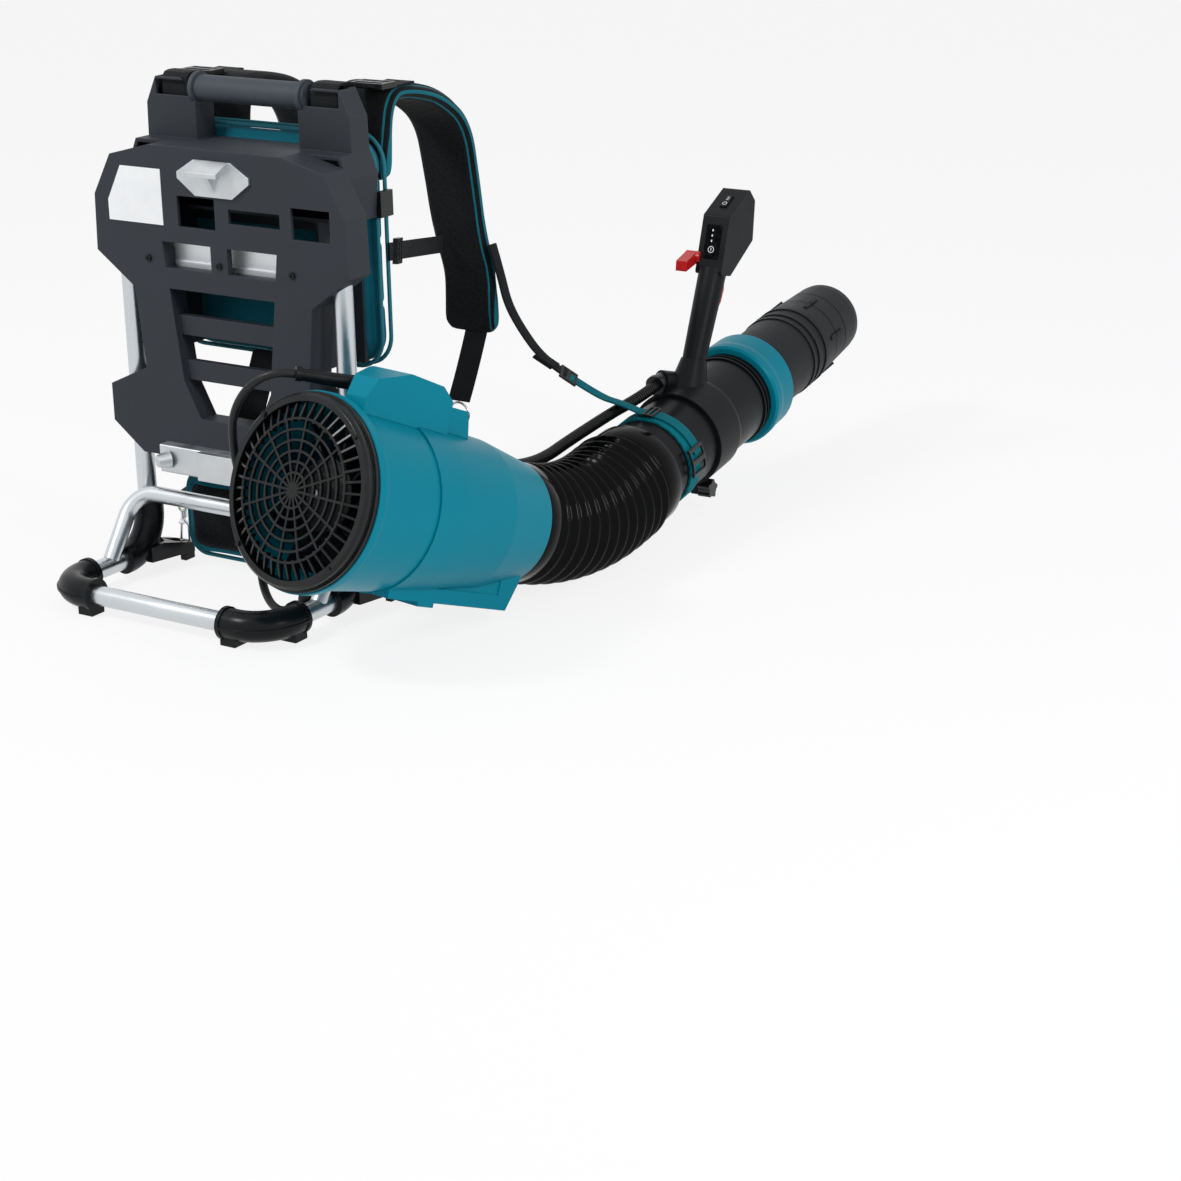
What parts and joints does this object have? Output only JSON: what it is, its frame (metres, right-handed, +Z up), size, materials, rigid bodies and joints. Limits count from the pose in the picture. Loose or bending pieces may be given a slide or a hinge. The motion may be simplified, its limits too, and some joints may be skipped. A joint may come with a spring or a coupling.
{
  "type": "backpack leaf blower",
  "caption": "Backpack blower: padded tube frame with harness, fan housing, ribbed hose, swivel pipe with nozzle and a control handle.",
  "frame": {"origin": "on the ground, midway between the two upright frame tubes, in the plane of their centres", "axes": "+X to the wearer's right, +Y to the wearer's front along the blowing direction, +Z up"},
  "size_m": [0.5408, 1.1227, 0.57],
  "materials": {
    "silver_tube": "brushed silver anodised tube",
    "cast_alloy": "bead-blasted cast aluminium",
    "bright_steel": "zinc-plated steel",
    "black_shell": "fine-textured black nylon",
    "black_gloss": "semi-gloss black plastic",
    "teal_shell": "satin teal plastic",
    "red_shell": "semi-gloss red plastic",
    "black_rubber": "black rubber",
    "teal_fabric": "teal mesh fabric",
    "black_fabric": "black woven fabric",
    "label_film": "pale silver film",
    "motor_metal": "cast motor shell"
  },
  "bodies": {
    "frame": {"frame_tube": "silver_tube", "upright_tubes": "silver_tube", "arch_tube": "silver_tube", "cross_rail": "silver_tube", "lower_bracket": "cast_alloy", "upper_catch": "cast_alloy", "plate_screws": "bright_steel", "snap_hook_left": "bright_steel", "snap_hook_right": "bright_steel", "harness_rings": "bright_steel", "grille_screws": "bright_steel", "blower_bracket": "bright_steel", "carrier_plate": "black_shell", "tower_shell": "black_shell", "pad_carrier": "black_shell", "harness_buckles": "black_shell", "intake_grille": "black_gloss", "grille_ring": "black_gloss", "stator_vanes": "black_gloss", "housing_rear": "teal_shell", "housing_front": "teal_shell", "controller_cover": "teal_shell", "front_boot_left": "black_rubber", "front_boot_right": "black_rubber", "rear_boot_left": "black_rubber", "rear_boot_right": "black_rubber", "dampers": "black_rubber", "bellows": "black_rubber", "control_conduit": "black_rubber", "strain_relief": "black_rubber", "power_cord": "black_rubber", "power_plug": "black_rubber", "carry_grip": "black_rubber", "back_pad": "teal_fabric", "waist_belt": "black_fabric", "shoulder_strap_left": "black_fabric", "shoulder_strap_right": "black_fabric", "harness_webbing": "black_fabric", "belt_webbing": "black_fabric", "support_webbing": "black_fabric", "label_plate": "label_film", "motor_can": "motor_metal"},
    "rotor": {"fan_rotor": "black_gloss", "motor_shaft": "bright_steel"},
    "hoop": {"bellows_hoop": "bright_steel"},
    "pipe": {"swivel_pipe": "black_shell", "pipe_strap": "teal_fabric", "strap_buckles": "black_shell"},
    "ring": {"lock_ring": "teal_shell"},
    "nozzle_tube": {"nozzle": "black_shell"},
    "handle": {"handle_collar": "black_shell", "control_handle": "black_shell", "conduit_gland": "black_shell"},
    "trigger_key": {"trigger": "red_shell"},
    "cruise_arm": {"cruise_lever": "red_shell"},
    "power_key": {"power_button": "black_gloss"},
    "top_key": {"top_button": "black_gloss"},
    "knob": {"clamp_knob": "black_shell"},
    "gate_left": {"hook_gate_left": "bright_steel"},
    "gate_right": {"hook_gate_right": "bright_steel"}
  },
  "joints": [
    {"name": "fan_spin", "type": "hinge", "parent": "frame", "child": "rotor", "pos_m": [0.25056, -0.10103, 0.16612], "axis": [0.1556, 0.9297, -0.3338], "continuous": true},
    {"name": "pipe_swing", "type": "hinge", "parent": "frame", "child": "hoop", "pos_m": [0.2975, 0.2212, 0.0685], "axis": [0, 0, 1], "range_deg": [-25, 30], "deforming": ["bellows", "control_conduit", "support_webbing"]},
    {"name": "pipe_pitch", "type": "hinge", "parent": "hoop", "child": "pipe", "pos_m": [0.2975, 0.2212, 0.0685], "axis": [1, 0, 0], "range_deg": [-8, 25], "deforming": ["bellows", "control_conduit", "support_webbing"]},
    {"name": "lock_turn", "type": "hinge", "parent": "pipe", "child": "ring", "pos_m": [0.28544, 0.62113, 0.12299], "axis": [-0.0345, 0.9884, 0.1478], "range_deg": [-25, 25]},
    {"name": "nozzle_slide", "type": "slide", "parent": "pipe", "child": "nozzle_tube", "axis": [-0.0345, 0.9884, 0.1478], "range_m": [-0.06, 0]},
    {"name": "handle_slide", "type": "slide", "parent": "pipe", "child": "handle", "axis": [-0.0345, 0.9884, 0.1478], "range_m": [-0.02, 0.05], "deforming": ["control_conduit"]},
    {"name": "trigger_press", "type": "hinge", "parent": "handle", "child": "trigger_key", "pos_m": [0.2865, 0.55839, 0.27317], "axis": [-1, 0, 0], "range_deg": [0, 8], "stiffness_Nm_per_rad": 0.5},
    {"name": "cruise_turn", "type": "hinge", "parent": "handle", "child": "cruise_arm", "pos_m": [0.2685, 0.55, 0.303], "axis": [1, 0, 0], "range_deg": [-20, 25]},
    {"name": "power_press", "type": "slide", "parent": "handle", "child": "power_key", "axis": [0, 0.9494, -0.3141], "range_m": [0, 0.0009], "stiffness_N_per_m": 400},
    {"name": "top_press", "type": "slide", "parent": "handle", "child": "top_key", "axis": [0, 0.4508, -0.8926], "range_m": [0, 0.0009], "stiffness_N_per_m": 400},
    {"name": "knob_turn", "type": "hinge", "parent": "handle", "child": "knob", "pos_m": [0.28979, 0.49654, 0.03025], "axis": [-0.9994, -0.0349, 0], "continuous": true},
    {"name": "gate_left_open", "type": "hinge", "parent": "frame", "child": "gate_left", "pos_m": [-0.1487, 0.0543, 0.0381], "axis": [1, 0, 0], "range_deg": [0, 22], "stiffness_Nm_per_rad": 0.02},
    {"name": "gate_right_open", "type": "hinge", "parent": "frame", "child": "gate_right", "pos_m": [0.1487, 0.0543, 0.0381], "axis": [1, 0, 0], "range_deg": [0, 22], "stiffness_Nm_per_rad": 0.02}
  ]
}
